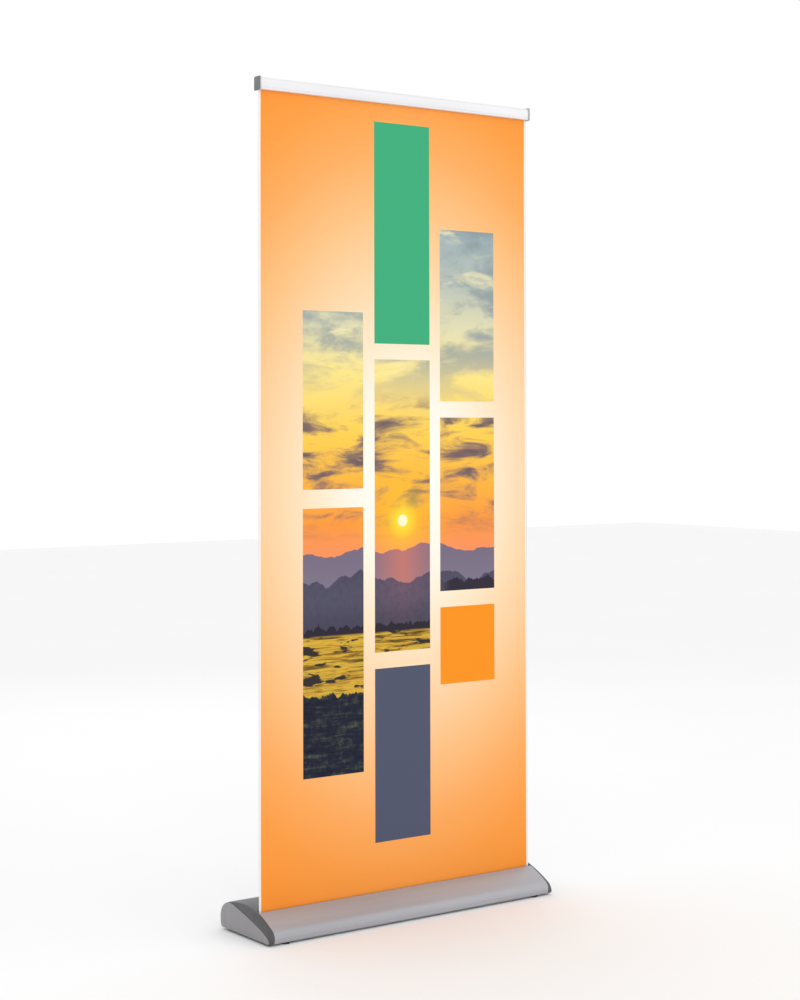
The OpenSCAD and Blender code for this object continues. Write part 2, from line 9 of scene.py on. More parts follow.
import bmesh
import bpy
import numpy as np
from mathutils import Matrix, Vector


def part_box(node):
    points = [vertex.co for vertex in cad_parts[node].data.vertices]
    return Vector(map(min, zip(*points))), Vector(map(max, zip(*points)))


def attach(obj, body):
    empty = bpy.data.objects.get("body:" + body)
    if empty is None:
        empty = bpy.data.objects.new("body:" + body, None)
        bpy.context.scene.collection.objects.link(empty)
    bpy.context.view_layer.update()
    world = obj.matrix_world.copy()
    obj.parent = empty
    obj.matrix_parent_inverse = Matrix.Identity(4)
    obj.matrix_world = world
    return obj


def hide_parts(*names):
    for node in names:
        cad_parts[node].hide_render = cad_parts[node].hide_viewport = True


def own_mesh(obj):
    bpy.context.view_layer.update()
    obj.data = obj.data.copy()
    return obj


bl_info = {
    "name": "Roll-up banner stand",
    "version": (1, 0, 0),
    "blender": (4, 5, 0),
    "location": "View3D > Sidebar > Banner stand",
    "description": "Builds the looks of a roll-up banner stand round its packed model",
    "category": "Object",
}

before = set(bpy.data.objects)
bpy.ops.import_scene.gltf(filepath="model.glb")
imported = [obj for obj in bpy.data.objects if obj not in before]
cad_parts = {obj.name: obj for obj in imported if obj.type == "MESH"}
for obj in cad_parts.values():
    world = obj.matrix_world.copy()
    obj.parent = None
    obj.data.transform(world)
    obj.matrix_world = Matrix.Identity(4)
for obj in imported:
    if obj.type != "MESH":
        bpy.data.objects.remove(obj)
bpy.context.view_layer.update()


# ---- Places, read from the frame ----

def corners(node):
    """A CAD node's lowest and highest corners as arrays."""
    low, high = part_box(node)
    return np.array(low), np.array(high)


def middle(node):
    """The middle of a CAD node's box."""
    low, high = corners(node)
    return (low + high) / 2


HOUSING_LOW, HOUSING_HIGH = corners("housing_shell")
FILM_LOW, FILM_HIGH = corners("banner_film")
FILM_Y = middle("banner_film")[1]
FILM_W = FILM_HIGH[0] - FILM_LOW[0]
ROLLER = middle("roller_tube")
POLE = middle("pole_lower_tube")
RAIL_LOW, RAIL_HIGH = corners("rail_back")
# The base's reach forward and back from the film, and its height at crest and underside
TOE, HEEL, CREST, UNDERSIDE = 0.079, 0.151, 0.079, 0.005


# ---- Shader maths ----

class Value:
    """A number in a shader. Python's operators on it add Math nodes."""

    def __init__(self, shader, socket):
        self.shader = shader
        self.socket = socket

    def maths(self, operation, *others):
        return self.shader.maths(operation, self, *others)

    def __add__(self, other):
        return self.maths("ADD", other)

    __radd__ = __add__

    def __sub__(self, other):
        return self.maths("SUBTRACT", other)

    def __rsub__(self, other):
        return self.shader.maths("SUBTRACT", other, self)

    def __mul__(self, other):
        return self.maths("MULTIPLY", other)

    __rmul__ = __mul__

    def __truediv__(self, other):
        return self.maths("DIVIDE", other)

    def __rtruediv__(self, other):
        return self.shader.maths("DIVIDE", other, self)

    def __abs__(self):
        return self.maths("ABSOLUTE")

    def __gt__(self, other):
        return self.maths("GREATER_THAN", other)

    def __lt__(self, other):
        return self.maths("LESS_THAN", other)

    def most(self, other):
        return self.maths("MAXIMUM", other)

    def root(self):
        return self.maths("SQRT")

    def rise(self, low, high):
        """0 below low and 1 above high, with a soft step between."""
        return self.shader.add(
            "ShaderNodeMapRange", {"interpolation_type": "SMOOTHSTEP"},
            {"Value": self, "From Min": low, "From Max": high})


class Shader:
    """One material and its nodes, ending in a Principled shader."""

    def __init__(self, name, **settings):
        self.material = bpy.data.materials.new(name)
        self.material.use_nodes = True
        self.tree = self.material.node_tree
        self.tree.nodes.clear()
        output = self.tree.nodes.new("ShaderNodeOutputMaterial")
        self.surface = self.tree.nodes.new("ShaderNodeBsdfPrincipled")
        self.tree.links.new(self.surface.outputs[0], output.inputs["Surface"])
        for socket, value in settings.items():
            self.surface.inputs[socket.replace("_", " ")].default_value = value

    def connect(self, value, socket):
        if isinstance(value, Value):
            self.tree.links.new(value.socket, socket)
        elif isinstance(value, (tuple, list)) and len(value) == 3 and len(socket.default_value) == 4:
            socket.default_value = (*value, 1.0)
        else:
            socket.default_value = value

    def add(self, kind, settings=None, inputs=None, output=0):
        """A node of any kind: its settings first, then its sockets' values or links.

        The setting named ramp is a colour ramp's stops.
        """
        node = self.tree.nodes.new(kind)
        for key, value in (settings or {}).items():
            if key == "ramp":
                self.set_ramp(node.color_ramp, value)
            else:
                setattr(node, key, value)
        for key, value in (inputs or {}).items():
            self.connect(value, node.inputs[key])
        return Value(self, node.outputs[output])

    @staticmethod
    def set_ramp(ramp, stops):
        while len(ramp.elements) > 1:
            ramp.elements.remove(ramp.elements[-1])
        for i, (place, colour) in enumerate(stops):
            element = ramp.elements[0] if i == 0 else ramp.elements.new(place)
            element.position = place
            element.color = (*colour, 1.0)

    def maths(self, operation, *values):
        return self.add("ShaderNodeMath", {"operation": operation}, dict(enumerate(values)))

    def mix(self, share, first, second):
        """A colour from first at share 0 to second at share 1."""
        return self.add("ShaderNodeMix", {"data_type": "RGBA"},
                        {"Factor": share, 6: first, 7: second}, output=2)

    def ramp(self, value, stops):
        return self.add("ShaderNodeValToRGB", {"ramp": stops}, {"Fac": value})

    def place(self, scale=(1, 1, 1)):
        """Object coordinates, scaled."""
        return self.stretch(self.add("ShaderNodeTexCoord", output=3), scale)

    def stretch(self, where, scale, shift=(0, 0, 0)):
        """Coordinates scaled along each axis, then shifted."""
        return self.add("ShaderNodeMapping", None, {"Vector": where, "Scale": scale, "Location": shift})

    def noise(self, where, scale, detail=3.0, rough=0.5, warp=0.0):
        return self.add("ShaderNodeTexNoise", None,
                        {"Vector": where, "Scale": scale, "Detail": detail,
                         "Roughness": rough, "Distortion": warp})

    def split(self, where):
        node = self.tree.nodes.new("ShaderNodeSeparateXYZ")
        self.connect(where, node.inputs[0])
        return [Value(self, out) for out in node.outputs]

    def join(self, x, y, z):
        return self.add("ShaderNodeCombineXYZ", None, {0: x, 1: y, 2: z})

    def bump(self, height, depth, strength=1.0):
        return self.add("ShaderNodeBump", None,
                        {"Height": height, "Distance": depth, "Strength": strength})

    def feed(self, **sockets):
        for name, value in sockets.items():
            self.connect(value, self.surface.inputs[name.replace("_", " ")])
        return self.material


def rgb(red, green, blue):
    """Display values from 0 to 255 as a linear colour."""
    shares = np.array([red, green, blue]) / 255
    return tuple(np.where(shares <= 0.04045, shares / 12.92, ((shares + 0.055) / 1.055) ** 2.4))


# ---- Meshes ----

def new_piece(name, points, faces, materials, angle=35.0, outward=True):
    """A mesh object from points and faces, smooth but for its sharp edges."""
    mesh = bpy.data.meshes.new(name)
    mesh.from_pydata(np.asarray(points, float).reshape(-1, 3).tolist(), [], faces)
    if outward:
        shape = bmesh.new()
        shape.from_mesh(mesh)
        bmesh.ops.remove_doubles(shape, verts=shape.verts, dist=1e-6)
        bmesh.ops.recalc_face_normals(shape, faces=shape.faces)
        shape.to_mesh(mesh)
        shape.free()
    mesh.polygons.foreach_set("use_smooth", np.ones(len(mesh.polygons), bool))
    mesh.set_sharp_from_angle(angle=math.radians(angle))
    for material in materials:
        mesh.materials.append(material)
    piece = bpy.data.objects.new(name, mesh)
    bpy.context.scene.collection.objects.link(piece)
    return piece


def wall_faces(rings, around, closed=True):
    """Quads between successive rings of points, each joined to the next along."""
    index = np.arange(rings * around).reshape(rings, around)
    ahead = np.roll(index, -1, axis=1)
    quads = np.stack([index[:-1], ahead[:-1], ahead[1:], index[1:]], axis=-1)
    if not closed:
        quads = quads[:, :-1]
    return quads.reshape(-1, 4)


def loft(name, rings, materials, angle=35.0, capped=True):
    """A skin over closed rings of points, with a flat face on each end."""
    rings = np.asarray(rings, float)
    count, around = rings.shape[:2]
    faces = wall_faces(count, around).tolist()
    if capped:
        faces.append(list(range(around)))
        faces.append(list(range((count - 1) * around, count * around)))
    return new_piece(name, rings, faces, materials, angle)


def along_x(outline, places):
    """Rings of a (y, z) outline at each x."""
    outline = np.asarray(outline, float)
    rings = np.zeros((len(places), len(outline), 3))
    rings[..., 0] = np.asarray(places, float)[:, None]
    rings[..., 1:] = outline
    return rings


def lathe(name, profile, centre, materials, axis="Z", around=64, ripple=None, angle=35.0):
    """A closed (radius, height) profile turned about an axis through centre.

    ripple(angle, height) is taken off the radius, for flutes and knurls.
    """
    profile = np.asarray(profile, float)
    turn = np.linspace(0, 2 * math.pi, around, endpoint=False)[None, :]
    radius = np.repeat(profile[:, :1], around, axis=1)
    height = np.repeat(profile[:, 1:], around, axis=1)
    if ripple is not None:
        radius = radius - ripple(np.repeat(turn, len(profile), axis=0), height)
    if axis == "Z":
        points = np.stack([radius * np.cos(turn), radius * np.sin(turn), height], axis=-1)
    else:
        points = np.stack([height, radius * np.cos(turn), radius * np.sin(turn)], axis=-1)
    rings = np.concatenate([points, points[:1]]) + np.asarray(centre, float)
    return loft(name, rings, materials, angle, capped=False)


def rounded(points, radii, steps=5):
    """A closed outline with each corner replaced by an arc tangent to its two sides."""
    points = np.asarray(points, float)
    radii = np.broadcast_to(radii, len(points))
    out = []
    for i, (corner, radius) in enumerate(zip(points, radii)):
        if radius <= 0:
            out.append(corner)
            continue
        back = points[i - 1] - corner
        ahead = points[(i + 1) % len(points)] - corner
        back, ahead = back / np.linalg.norm(back), ahead / np.linalg.norm(ahead)
        half = math.acos(max(-1, min(1, float(back @ ahead)))) / 2
        centre = corner + (back + ahead) / np.linalg.norm(back + ahead) * radius / math.sin(half)
        start = corner + back * radius / math.tan(half) - centre
        sweep = np.sign(back[0] * ahead[1] - back[1] * ahead[0]) * (math.pi - 2 * half)
        turn = np.linspace(0, -sweep, steps)
        out.extend(np.stack([
            centre[0] + start[0] * np.cos(turn) - start[1] * np.sin(turn),
            centre[1] + start[0] * np.sin(turn) + start[1] * np.cos(turn)], axis=-1))
    return np.array(out)


def arc(centre, radius, start, end, steps):
    """Points on an arc, from one angle in degrees to another."""
    turn = np.radians(np.linspace(start, end, steps))
    return np.column_stack([centre[0] + radius * np.cos(turn), centre[1] + radius * np.sin(turn)])


def bezier(ends, count):
    """Points on a cubic Bezier curve, without its last one."""
    share = np.linspace(0, 1, count, endpoint=False)[:, None]
    a, b, c, d = np.asarray(ends, float)
    return (a * (1 - share) ** 3 + 3 * b * share * (1 - share) ** 2
            + 3 * c * share ** 2 * (1 - share) + d * share ** 3)


def moved_in(outline, depth):
    """A closed outline moved inwards along its normal by depth."""
    ahead = np.roll(outline, -1, axis=0) - outline
    back = outline - np.roll(outline, 1, axis=0)
    ahead /= np.linalg.norm(ahead, axis=1)[:, None]
    back /= np.linalg.norm(back, axis=1)[:, None]
    tangent = ahead + back
    tangent /= np.linalg.norm(tangent, axis=1)[:, None]
    return outline + depth * np.stack([tangent[:, 1], -tangent[:, 0]], axis=-1)


def domed(outline, side, inner, outer, radius, inset=0.0):
    """Rings of a plate from its back at x = inner to its face at outer.

    Its rim is a quarter circle: the outline moves in by radius (1 - cos) as x goes out
    by radius sin. side is 1 for the right end and -1 for the left.
    """
    rings = [along_x(moved_in(outline, inset), [side * inner])[0]]
    for angle in np.linspace(0, math.pi / 2, 5):
        ring = moved_in(outline, inset + radius * (1 - math.cos(angle)))
        rings.append(along_x(ring, [side * (outer - radius + radius * math.sin(angle))])[0])
    return rings


def smooth_group():
    """Geometry nodes that join a CAD mesh's loose triangles and smooth its round faces."""
    group = bpy.data.node_groups.new("smooth rounds", "GeometryNodeTree")
    group.interface.new_socket("Geometry", in_out="INPUT", socket_type="NodeSocketGeometry")
    group.interface.new_socket("Geometry", in_out="OUTPUT", socket_type="NodeSocketGeometry")
    enter = group.nodes.new("NodeGroupInput")
    leave = group.nodes.new("NodeGroupOutput")
    merge = group.nodes.new("GeometryNodeMergeByDistance")
    merge.inputs["Distance"].default_value = 1e-6
    plain = group.nodes.new("GeometryNodeRemoveAttribute")
    plain.inputs["Name"].default_value = "custom_normal"
    faces = group.nodes.new("GeometryNodeSetShadeSmooth")
    edges = group.nodes.new("GeometryNodeSetShadeSmooth")
    edges.domain = "EDGE"
    edges.inputs["Shade Smooth"].default_value = False
    bend = group.nodes.new("GeometryNodeInputMeshEdgeAngle")
    sharp = group.nodes.new("FunctionNodeCompare")
    sharp.operation = "GREATER_THAN"
    sharp.inputs[1].default_value = math.radians(30)
    for start, end in (
            (enter.outputs[0], merge.inputs["Geometry"]),
            (merge.outputs[0], plain.inputs["Geometry"]),
            (plain.outputs[0], faces.inputs["Geometry"]),
            (faces.outputs[0], edges.inputs["Geometry"]),
            (bend.outputs[0], sharp.inputs[0]),
            (sharp.outputs[0], edges.inputs["Selection"]),
            (edges.outputs[0], leave.inputs[0])):
        group.links.new(start, end)
    return group


def dress(nodes, material):
    """Gives CAD nodes a finish, and smooths their round faces."""
    group = bpy.data.node_groups.get("smooth rounds") or smooth_group()
    for name in nodes:
        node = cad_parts[name]
        if not node.material_slots:
            node.data.materials.append(material)
        for slot in node.material_slots:
            slot.material = material
        smooth = node.modifiers.new("smooth rounds", "NODES")
        smooth.node_group = group


def fit_piece(piece, body, slot, *replaced):
    """Fixes a finished piece to its body and hides the nodes it stands for. The slot is not used."""
    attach(piece, body)
    if replaced:
        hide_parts(*replaced)
    return piece


# ---- Finishes ----

def silver(name="silver extrusion", colour=None, behind=None, metallic=0.45, rough=0.44):
    """Satin extrusion: drawn lines along X and faint clouding.

    behind, if given, is a darker colour painted on the housing behind the slot, above the underside: a
    painted dark reflection on what is the same silver extrusion.
    """
    base = tuple(colour or bpy.context.scene.stand_looks.silver)
    shader = Shader(name, Metallic=metallic)
    drawn = shader.noise(shader.place((0.6, 260, 260)), 5.0, 4.0, 0.65)
    fine = shader.noise(shader.place((3, 900, 900)), 4.0, 2.0)
    cloud = shader.noise(shader.place((1.5, 14, 14)), 1.2, 3.0)
    tone = 0.5 * drawn + 0.5 * cloud
    colour = shader.mix(tone.rise(0.3, 0.7), tuple(0.86 * c for c in base), base)
    # Painted dark reflection: the housing behind the slot, above its underside, takes the darker behind
    # colour, though the extrusion there is the same silver.
    if behind:
        _, y, z = shader.split(shader.place())
        rear = shader.mix(tone.rise(0.3, 0.7), tuple(0.82 * c for c in behind), behind)
        above_underside = z.rise(UNDERSIDE + 0.0005, UNDERSIDE + 0.0025)
        painted_reflection_mask = y.rise(FILM_Y - 0.001, FILM_Y + 0.001) * above_underside
        colour = shader.mix(painted_reflection_mask, colour, rear)
    height = 0.6 * drawn + 0.4 * fine
    return shader.feed(Base_Color=colour, Roughness=rough - 0.05 + 0.10 * drawn + 0.05 * cloud,
                       Normal=shader.bump(height, 0.00006, 0.35))


def moulded(name, colour, grain=2600.0, rough=0.42, depth=0.00005, worn=0.10):
    """Moulded plastic: spark-eroded grain, with a little unevenness in tone and gloss."""
    shader = Shader(name, Specular_IOR_Level=0.45)
    where = shader.place()
    pits = shader.noise(where, grain, 2.0, 0.6)
    patch = shader.noise(where, 34.0, 3.0)
    light = tuple(min(1.0, c * (1 + worn) + 0.004) for c in colour)
    dark = tuple(c * (1 - worn) for c in colour)
    tone = 0.6 * patch + 0.4 * pits
    return shader.feed(Base_Color=shader.mix(tone.rise(0.3, 0.7), dark, light),
                       Roughness=rough - 0.06 + 0.14 * patch,
                       Normal=shader.bump(pits, depth, 0.4))


def brushed_plate():
    """Satin grey plate, brushed upwards."""
    base = tuple(bpy.context.scene.stand_looks.plate)
    shader = Shader("satin grey plate", Metallic=0.25)
    strokes = shader.noise(shader.place((1, 420, 9)), 1.0, 4.0, 0.65)
    wide = shader.noise(shader.place((1, 90, 3)), 1.0, 3.0, 0.6)
    tone = 0.55 * strokes + 0.45 * wide
    dark = tuple(0.84 * c for c in base)
    light = tuple(0.97 * c for c in base)
    return shader.feed(Base_Color=shader.mix(tone.rise(0.30, 0.70), dark, light),
                       Roughness=0.36 + 0.12 * strokes,
                       Normal=shader.bump(strokes, 0.00005, 0.25))


def bright_metal(name, colour, rough=0.28):
    """Machined or plated metal with faint marks and duller spots."""
    shader = Shader(name, Metallic=1.0)
    marks = shader.noise(shader.place(), 900.0, 3.0, 0.6)
    spots = shader.noise(shader.place(), 160.0, 3.0)
    dull = tuple(0.75 * c for c in colour)
    return shader.feed(Base_Color=shader.mix(spots.rise(0.35, 0.7), colour, dull),
                       Roughness=rough + 0.12 * marks + 0.08 * spots,
                       Normal=shader.bump(marks, 0.00003, 0.4))


def pile_cloth():
    """Short black pile: fine upright hairs with a soft sheen."""
    shader = Shader("black pile", Roughness=0.95, Sheen_Weight=0.5)
    hairs = shader.noise(shader.place((2600, 900, 200)), 1.0, 2.0, 0.7)
    return shader.feed(Base_Color=shader.mix(hairs, (0.006, 0.006, 0.006), (0.05, 0.05, 0.05)),
                       Normal=shader.bump(hairs, 0.0004, 0.8))


def rail_cap_plastic():
    """Silver grey moulding with painted shade: its outer end face is coloured a darker grey, standing in for
    the shade on that side.
    """
    shader = Shader("silver grey moulding, end face painted shade", Specular_IOR_Level=0.45)
    where = shader.place()
    x, _, _ = shader.split(where)
    grain = shader.noise(where, 2600.0, 2.0, 0.6)
    patch = shader.noise(where, 60.0, 3.0)
    end = corners("rail_cap_right")[1][0]
    # Painted shade: this mask picks the outer end face, which is coloured dark grey instead of the
    # moulding's own light grey.
    face = abs(x).rise(end - 0.0011, end - 0.0005)
    light = shader.mix(patch, (0.46, 0.46, 0.48), (0.54, 0.54, 0.56))
    dark = shader.mix(patch, (0.13, 0.13, 0.135), (0.17, 0.17, 0.175))
    return shader.feed(Base_Color=shader.mix(face, light, dark), Roughness=0.32 + 0.1 * patch,
                       Normal=shader.bump(grain, 0.00004, 0.4))


PANELS = (  # x from, x to, z from, z to, what it shows
    (-0.2965, -0.1133, 1.0895, 1.536, "view"),
    (-0.2965, -0.1133, 0.374, 1.0425, "view"),
    (-0.078, 0.098, 0.671, 1.418, "view"),
    (0.1315, 0.3115, 1.3115, 1.761, "view"),
    (0.1315, 0.3115, 0.8165, 1.269, "view"),
    (-0.078, 0.098, 1.458, 2.0255, "green"),
    (-0.078, 0.098, 0.190, 0.630, "slate"),
    (0.1315, 0.3115, 0.574, 0.7745, "amber"),
)


def landscape(shader, across, up):
    """A made-up dusk over hills and fields, as a colour at (across, up) in metres."""
    sun_x, sun_z = 0.010, 1.0045
    horizon, sky_height = 0.93, 0.85
    flat = shader.join(across, 0.0, up)
    sky = shader.ramp((up - horizon) / sky_height, (
        (0.00, rgb(246, 146, 92)), (0.08, rgb(250, 152, 62)), (0.22, rgb(252, 184, 62)),
        (0.36, rgb(252, 208, 84)), (0.52, rgb(250, 226, 132)), (0.66, rgb(226, 220, 176)),
        (0.80, rgb(186, 194, 182)), (1.00, rgb(150, 172, 180))))
    broad = shader.noise(shader.stretch(flat, (5.5, 1, 19)), 1.0, 6.0, 0.58, 0.6)
    veil = shader.noise(shader.stretch(flat, (3.2, 1, 8.5), (4.1, 0, 2.3)), 1.0, 5.0, 0.6, 0.4)
    low_band = (1.0 - abs(up - 1.15) / 0.20).most(0.0)
    dusky = broad.rise(0.44, 0.62) * low_band.rise(0.0, 0.5)
    sky = shader.mix(dusky * 0.85, sky, rgb(128, 104, 106))
    core = broad.rise(0.53, 0.68) * low_band.rise(0.0, 0.5)
    sky = shader.mix(core * 0.75, sky, rgb(84, 76, 90))
    upper = (up - 1.24).rise(0.0, 0.25)
    sky = shader.mix(veil.rise(0.42, 0.60) * upper * 0.85, sky, rgb(138, 152, 158))
    sky = shader.mix(broad.rise(0.54, 0.70) * upper * 0.6, sky, rgb(252, 240, 178))
    aside = across - sun_x
    above = up - sun_z
    gone = (aside * aside + above * above).root()
    glow = (1.0 - gone / 0.19).most(0.0)
    sky = shader.mix(glow * glow * 0.9, sky, rgb(253, 206, 24))
    glare = (1.0 - gone / 0.05).most(0.0)
    sky = shader.mix(glare, sky, rgb(255, 232, 60))
    sky = shader.mix(1.0 - gone.rise(0.0125, 0.0170), sky, rgb(255, 252, 206))

    def ridge(scale, shift, foot, height):
        """Height of a line of hills at each place across."""
        line = shader.noise(shader.join(across + shift, 0.0, 0.0), scale, 5.0, 0.52)
        return foot + (line - 0.5) * height

    grain = shader.noise(flat, 62.0, 5.0, 0.6)
    far = ridge(6.0, 3.0, horizon, 0.12)
    near = ridge(7.5, 9.4, 0.858, 0.17)
    haze = (0.95 - up).rise(0.0, 0.2)
    warm = (1.0 - abs(across - sun_x) / 0.12).most(0.0)
    cool_hill = shader.mix(haze, rgb(120, 108, 128), rgb(128, 124, 142))
    hill = shader.mix(warm * 0.8, cool_hill, rgb(206, 122, 108))
    scene = shader.mix((up - far).rise(-0.001, 0.0015), hill, sky)
    near_hill = shader.mix(warm * 0.45, rgb(76, 72, 94), rgb(140, 92, 104))
    near_hill = shader.mix(haze * 0.35, near_hill, rgb(104, 104, 122))
    near_hill = shader.mix(grain.rise(0.4, 0.7) * 0.25, near_hill, rgb(58, 54, 74))
    near_hill = shader.mix((0.83 - up).rise(0.0, 0.09) * 0.55, near_hill, rgb(56, 54, 72))
    scene = shader.mix((up - near).rise(-0.001, 0.0015), near_hill, scene)
    trees = ridge(48.0, 1.7, 0.742, 0.075)
    scene = shader.mix((up - trees).rise(-0.001, 0.001), rgb(44, 40, 52), scene)
    furrows = shader.noise(shader.stretch(flat, (9, 1, 120)), 1.0, 5.0, 0.6, 0.5)
    field = shader.ramp(furrows, (
        (0.34, rgb(74, 66, 36)), (0.43, rgb(150, 116, 40)), (0.54, rgb(222, 176, 62)),
        (0.68, rgb(146, 150, 56))))
    hedge = shader.noise(shader.stretch(flat, (11, 1, 46), (2.7, 0, 8.1)), 1.0, 4.0, 0.6, 0.3)
    field = shader.mix(hedge.rise(0.54, 0.60), field, rgb(50, 46, 46))
    scene = shader.mix((up - 0.722).rise(-0.004, 0.004), field, scene)
    brush = ridge(34.0, 5.2, 0.575, 0.075)
    thicket = shader.ramp(grain * 0.35 + furrows * 0.3 + hedge * 0.35, (
        (0.38, rgb(20, 22, 42)), (0.50, rgb(32, 36, 52)), (0.57, rgb(58, 64, 60)),
        (0.66, rgb(104, 112, 92))))
    scene = shader.mix((up - brush).rise(-0.002, 0.002), thicket, scene)
    bushes = ridge(30.0, 7.7, 0.845, 0.08)
    right = (across - 0.12).rise(0.0, 0.05) * (1.0 - (up - bushes).rise(-0.001, 0.001))
    return shader.mix(right, scene, rgb(48, 44, 58))


def printed_film():
    """The banner's art: a cream glow on orange, plain panels and windows on a landscape."""
    look = bpy.context.scene.stand_looks
    shader = Shader("printed film", Specular_IOR_Level=0.12)
    place = shader.add("ShaderNodeAttribute", {"attribute_name": "film_place"}, output=1)
    across, _, up = shader.split(place)
    glow_x, glow_z, glow_wide, glow_high = 0.03, 1.10, 0.39, 0.517
    aside = (across - glow_x) / glow_wide
    above = (up - glow_z) / glow_high
    reach = (aside * aside + above * above).root()
    art = shader.ramp(reach / 2.4, (
        (0.08, rgb(254, 251, 240)), (0.19, rgb(252, 244, 229)), (0.29, rgb(251, 232, 203)),
        (0.417, rgb(252, 215, 172)), (0.575, rgb(251, 192, 130)), (0.70, rgb(251, 171, 95)),
        (0.81, rgb(250, 158, 70)), (0.92, rgb(250, 149, 53))))
    view = landscape(shader, across, up)
    fills = {"view": view, "green": tuple(look.green), "slate": tuple(look.slate),
             "amber": tuple(look.amber)}
    for left, right, low, high, fill in PANELS:
        inside = ((across > left) * (across < right)) * ((up > low) * (up < high))
        art = shader.mix(inside, art, fills[fill])
    edge = bpy.context.scene.stand_sizes.print_margin
    margin = abs(across) > FILM_W / 2 - edge
    art = shader.mix(margin, art, rgb(244, 242, 238))
    weave = shader.noise(shader.join(across, 0.0, up), 1500.0, 2.0, 0.6)
    broad = shader.noise(shader.join(across, 0.0, up), 9.0, 2.0)
    return shader.feed(Base_Color=art, Roughness=0.55 + 0.08 * broad + 0.05 * weave,
                       Normal=shader.bump(weave, 0.00002, 0.25))


def plain_film(name, colour):
    """The film's unprinted grey-white back, with its fine calendered tooth."""
    shader = Shader(name, Specular_IOR_Level=0.35)
    tooth = shader.noise(shader.place(), 1400.0, 2.0)
    cloud = shader.noise(shader.place((2, 2, 1)), 6.0, 3.0)
    dark = tuple(0.975 * c for c in colour)
    return shader.feed(Base_Color=shader.mix(cloud, dark, colour),
                       Roughness=0.5 + 0.08 * tooth,
                       Normal=shader.bump(tooth, 0.00002, 0.3))


def studio_floor():
    shader = Shader("pale floor", Specular_IOR_Level=0.2, Roughness=0.7)
    cloud = shader.noise(shader.place(), 1.2, 3.0)
    return shader.feed(Base_Color=shader.mix(cloud, (0.92, 0.92, 0.92), (0.94, 0.94, 0.94)))


FINISHES = {
    "silver": silver,
    # The housing's third colour, dark grey, is a painted dark reflection on the housing behind the slot.
    "housing": lambda: silver("base extrusion, painted dark reflection behind the slot", (0.452, 0.461, 0.496), (0.14, 0.14, 0.146), 0.35, 0.5),
    "rail": lambda: silver("rail extrusion", (0.88, 0.88, 0.90), None, 0.3, 0.40),
    "cap": lambda: moulded("dark grey moulding", tuple(bpy.context.scene.stand_looks.cap), rough=0.36),
    "plate": brushed_plate,
    "rail_cap": rail_cap_plastic,
    "black": lambda: moulded("black moulding", (0.022, 0.022, 0.024)),
    "rubber": lambda: moulded("black rubber", (0.018, 0.018, 0.018), 1200.0, 0.75, 0.0001),
    "nylon": lambda: moulded("white nylon", (0.72, 0.72, 0.69), 1500.0, 0.38, 0.00003, 0.04),
    "acetal": lambda: moulded("natural acetal", (0.52, 0.42, 0.28), 1500.0, 0.35, 0.00003, 0.05),
    "strip": lambda: moulded("grey grip strip", (0.45, 0.45, 0.46), 1500.0, 0.6, 0.00005, 0.06),
    "zinc": lambda: bright_metal("zinc plated steel", (0.52, 0.53, 0.55)),
    "spring": lambda: bright_metal("spring steel", (0.20, 0.21, 0.24), 0.32),
    "brass": lambda: bright_metal("brass", (0.62, 0.42, 0.14), 0.25),
    "pile": pile_cloth,
    "print": printed_film,
    "film_back": lambda: plain_film("film back", (0.80, 0.80, 0.79)),
    "floor": studio_floor,
}
_made = {}


def finish(name):
    """A material by its short name, made once."""
    if name not in _made:
        _made[name] = FINISHES[name]()
    return _made[name]


# ---- Section of the base ----

def base_section(count=1):
    """Closed (y, z) outline of the housing, with y measured from the film.

    Four cubic curves: round the toe, up the slope to the crest, over to the heel
    and in under it. The lower edge closes the loop. count multiplies the points.
    """
    toe, heel, crest, foot = TOE, HEEL, CREST, UNDERSIDE
    top = (0.4 * heel, crest)
    nose = (-toe + 0.011, 0.456 * crest)
    back = (heel, 0.38 * crest)
    pieces = [
        bezier([(-toe + 0.005, foot), (-toe - 0.0015, foot + 0.005), (-toe - 0.002, 0.354 * crest), nose],
               14 * count),
        bezier([nose, (-0.506 * toe, 0.665 * crest), (0.066 * heel, crest), top], 30 * count),
        bezier([top, (0.742 * heel, crest), (1.013 * heel, 0.835 * crest), back], 24 * count),
        bezier([back, (heel - 0.001, 0.152 * crest), (heel - 0.002, foot), (heel - 0.013, foot)],
               10 * count),
        np.array([(heel - 0.013, foot)]),
    ]
    return np.concatenate(pieces)


def fit_section(outline, reference):
    """Scales and shifts an outline as reference's box goes on the CAD housing's box."""
    low, high = reference.min(0), reference.max(0)
    to_low, to_high = HOUSING_LOW[1:], HOUSING_HIGH[1:]
    return to_low + (outline - low) * (to_high - to_low) / (high - low)


def face_section():
    """Closed outline of a cap's flat outer face, lower than the housing's slope.

    It has as many points as base_section(1), so that the two can be blended.
    """
    toe, heel, crest, foot = TOE, HEEL, CREST, UNDERSIDE
    nose = (-toe + 0.016, 0.291 * crest)
    peak = (0.57 * heel, 0.886 * crest)
    back = (heel - 0.002, 0.38 * crest)
    return np.concatenate([
        bezier([(-toe + 0.0065, foot + 0.0005), (-toe + 0.0015, foot + 0.003),
                (-toe + 0.003, 0.203 * crest), nose], 14),
        bezier([nose, (-0.38 * toe, 0.513 * crest), (0.232 * heel, 0.728 * crest), peak], 30),
        bezier([peak, (0.795 * heel, 0.987 * crest), (0.993 * heel, 0.785 * crest), back], 24),
        bezier([back, (heel - 0.003, 0.152 * crest), (heel - 0.005, foot + 0.001),
                (heel - 0.015, foot + 0.001)], 10),
        np.array([(heel - 0.015, foot + 0.001)]),
    ])


def skin_height(outline, y):
    """Height of the top skin at y."""
    top = outline[np.argmin(outline[:, 0]):np.argmax(outline[:, 0]) + 1]
    return float(np.interp(y, top[:, 0], top[:, 1]))


# ---- Properties ----

